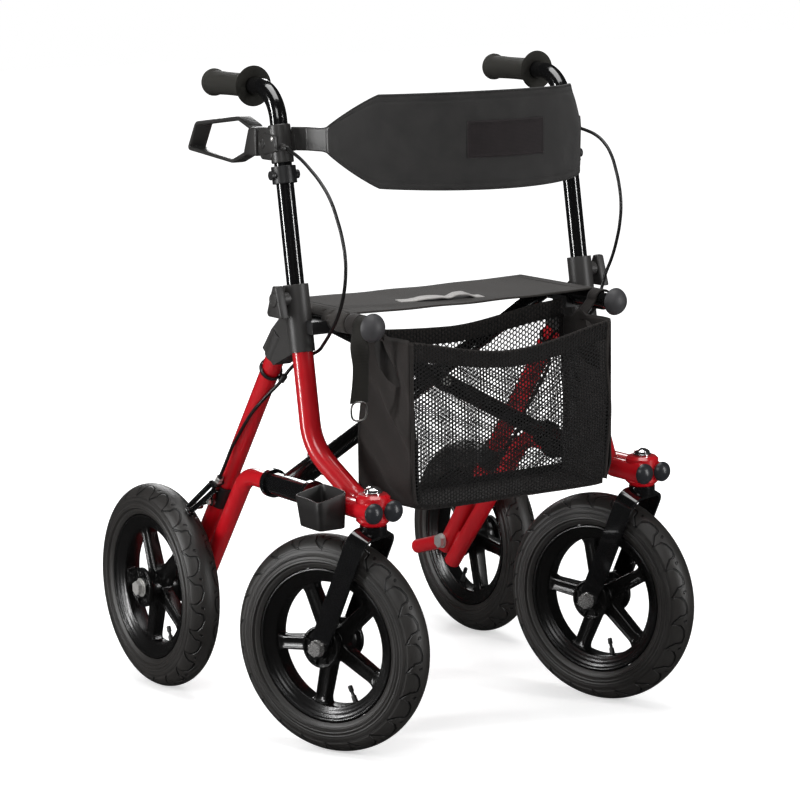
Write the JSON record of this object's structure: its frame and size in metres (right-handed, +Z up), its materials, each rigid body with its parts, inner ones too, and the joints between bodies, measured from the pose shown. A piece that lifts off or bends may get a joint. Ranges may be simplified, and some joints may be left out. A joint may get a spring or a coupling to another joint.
{
  "type": "rollator",
  "caption": "Folding all terrain rollator with red tube frame, air-filled wheels, loop brakes, sling seat, mesh basket and back belt",
  "frame": {"origin": "on the floor, under the middle of the part's box", "axes": "+X to the right seen from the front, which is the left hand of the person who walks behind it; -Y to the front, the way it rolls; +Z up"},
  "size_m": [0.6711, 0.7545, 0.944],
  "materials": {
    "red_paint": "gloss powder coat",
    "black_paint": "gloss black coat",
    "casting_plastic": "matte moulded",
    "black_plastic": "matte moulded",
    "grey_plastic": "matte moulded",
    "grip_rubber": "fine ribbed rubber",
    "cable_jacket": "smooth jacket",
    "chrome": "bright chrome",
    "tyre_rubber": "moulded tread",
    "rim_plastic": "satin moulded",
    "zinc_steel": "zinc plated",
    "seat_fabric": "woven nylon",
    "webbing": "woven tape",
    "bag_fabric": "woven nylon",
    "mesh": "open knitted mesh",
    "black_webbing": "woven tape",
    "belt_fabric": "fine woven cover"
  },
  "bodies": {
    "left_frame": {"front_leg_left": "red_paint", "lower_rail_left": "red_paint", "rear_leg_left": "red_paint", "frame_plugs_left": "grey_plastic", "head_casting_left": "casting_plastic", "seat_cradle_left": "black_plastic", "brake_clamp_left": "black_plastic", "brake_cable_left": "cable_jacket", "axle_rear_left": "zinc_steel", "cane_cup": "grey_plastic"},
    "left_handle": {"handle_tube_left": "black_paint", "handle_collar_left": "black_plastic", "grip_left": "grip_rubber", "brake_housing_left": "black_plastic", "backrest": "belt_fabric"},
    "left_lever": {"brake_lever_left": "black_plastic"},
    "left_knob": {"clamp_knob_left": "grey_plastic"},
    "left_brake": {"brake_arm_left": "black_paint"},
    "left_caster": {"fork_left": "black_paint", "stem_nut_left": "chrome", "axle_front_left": "zinc_steel"},
    "front_left_wheel": {"tyre_front_left": "tyre_rubber", "rim_front_left": "rim_plastic"},
    "rear_left_wheel": {"tyre_rear_left": "tyre_rubber", "rim_rear_left": "rim_plastic"},
    "right_frame": {"front_leg_right": "red_paint", "lower_rail_right": "red_paint", "rear_leg_right": "red_paint", "frame_plugs_right": "grey_plastic", "head_casting_right": "casting_plastic", "seat_cradle_right": "black_plastic", "brake_clamp_right": "black_plastic", "brake_cable_right": "cable_jacket", "axle_rear_right": "zinc_steel"},
    "right_handle": {"handle_tube_right": "black_paint", "handle_collar_right": "black_plastic", "grip_right": "grip_rubber", "brake_housing_right": "black_plastic"},
    "right_lever": {"brake_lever_right": "black_plastic"},
    "right_knob": {"clamp_knob_right": "grey_plastic"},
    "right_brake": {"brake_arm_right": "black_paint"},
    "right_caster": {"fork_right": "black_paint", "stem_nut_right": "chrome", "axle_front_right": "zinc_steel"},
    "front_right_wheel": {"tyre_front_right": "tyre_rubber", "rim_front_right": "rim_plastic"},
    "rear_right_wheel": {"tyre_rear_right": "tyre_rubber", "rim_rear_right": "rim_plastic"},
    "brace_a": {"brace_left": "black_paint", "seat_tube_right": "black_paint", "seat_knob_right": "grey_plastic", "brace_bolt": "zinc_steel"},
    "brace_b": {"brace_right": "black_paint", "seat_tube_left": "black_paint", "seat_knob_left": "grey_plastic"},
    "seat": {"seat_sling": "seat_fabric", "pull_strap": "webbing", "basket": "bag_fabric", "basket_mesh": "mesh", "basket_strap": "black_webbing"}
  },
  "joints": [
    {"name": "fold", "type": "hinge", "parent": "left_frame", "child": "brace_a", "pos_m": [-0.248, -0.091, 0.352], "axis": [0, -1, 0], "range_deg": [0, 23], "deforming": ["seat_sling", "pull_strap", "basket", "basket_mesh", "basket_strap", "backrest"]},
    {"name": "cross_pivot", "type": "hinge", "parent": "brace_a", "child": "brace_b", "pos_m": [0, -0.105, 0.48579], "axis": [0, -1, 0], "range_deg": [-46, 0]},
    {"name": "right_rail", "type": "hinge", "parent": "brace_b", "child": "right_frame", "pos_m": [0.248, -0.118, 0.352], "axis": [0, -1, 0], "range_deg": [0, 23]},
    {"name": "seat_level", "type": "hinge", "parent": "brace_b", "child": "seat", "pos_m": [-0.208, -0.119, 0.598], "axis": [0, -1, 0], "range_deg": [0, 23]},
    {"name": "handle_slide_left", "type": "slide", "parent": "left_frame", "child": "left_handle", "axis": [0, 0.1633, 0.9866], "range_m": [-0.1, 0.04], "deforming": ["brake_cable_left"]},
    {"name": "clamp_screw_left", "type": "hinge", "parent": "left_frame", "child": "left_knob", "pos_m": [-0.27, -0.12715, 0.628], "axis": [1, 0, 0], "continuous": true},
    {"name": "brake_lever_left", "type": "hinge", "parent": "left_handle", "child": "left_lever", "pos_m": [-0.246, -0.06672, 0.842], "axis": [1, 0, 0], "range_deg": [0, 10], "stiffness_Nm_per_rad": 5, "springref_deg": -14.32},
    {"name": "brake_arm_left", "type": "hinge", "parent": "left_frame", "child": "left_brake", "pos_m": [-0.261, 0.1, 0.302], "axis": [1, 0, 0], "range_deg": [-5, 0]},
    {"name": "caster_left", "type": "hinge", "parent": "left_frame", "child": "left_caster", "pos_m": [-0.232, -0.296, 0.352], "axis": [0, 0, 1], "continuous": true},
    {"name": "front_wheel_left", "type": "hinge", "parent": "left_caster", "child": "front_left_wheel", "pos_m": [-0.26047, -0.23205, 0.155], "axis": [0.9135, 0.4067, 0], "continuous": true},
    {"name": "rear_wheel_left", "type": "hinge", "parent": "left_frame", "child": "rear_left_wheel", "pos_m": [-0.289, 0.222, 0.155], "axis": [1, 0, 0], "continuous": true},
    {"name": "handle_slide_right", "type": "slide", "parent": "right_frame", "child": "right_handle", "axis": [0, 0.1633, 0.9866], "range_m": [-0.1, 0.04], "deforming": ["brake_cable_right"]},
    {"name": "clamp_screw_right", "type": "hinge", "parent": "right_frame", "child": "right_knob", "pos_m": [0.27, -0.12715, 0.628], "axis": [1, 0, 0], "continuous": true},
    {"name": "brake_lever_right", "type": "hinge", "parent": "right_handle", "child": "right_lever", "pos_m": [0.246, -0.06672, 0.842], "axis": [1, 0, 0], "range_deg": [0, 10], "stiffness_Nm_per_rad": 5, "springref_deg": -14.32},
    {"name": "brake_arm_right", "type": "hinge", "parent": "right_frame", "child": "right_brake", "pos_m": [0.261, 0.1, 0.302], "axis": [1, 0, 0], "range_deg": [-5, 0]},
    {"name": "caster_right", "type": "hinge", "parent": "right_frame", "child": "right_caster", "pos_m": [0.232, -0.296, 0.352], "axis": [0, 0, 1], "continuous": true},
    {"name": "front_wheel_right", "type": "hinge", "parent": "right_caster", "child": "front_right_wheel", "pos_m": [0.20806, -0.23022, 0.155], "axis": [0.9397, 0.342, 0], "continuous": true},
    {"name": "rear_wheel_right", "type": "hinge", "parent": "right_frame", "child": "rear_right_wheel", "pos_m": [0.289, 0.222, 0.155], "axis": [1, 0, 0], "continuous": true}
  ],
  "couplings": [
    {"joint": "cross_pivot", "follows": "fold", "ratio": -2},
    {"joint": "right_rail", "follows": "fold", "ratio": 1},
    {"joint": "seat_level", "follows": "fold", "ratio": 1},
    {"joint": "handle_slide_right", "follows": "handle_slide_left", "ratio": 1},
    {"joint": "brake_arm_left", "follows": "brake_lever_left", "ratio": -0.5},
    {"joint": "brake_arm_right", "follows": "brake_lever_right", "ratio": -0.5}
  ]
}
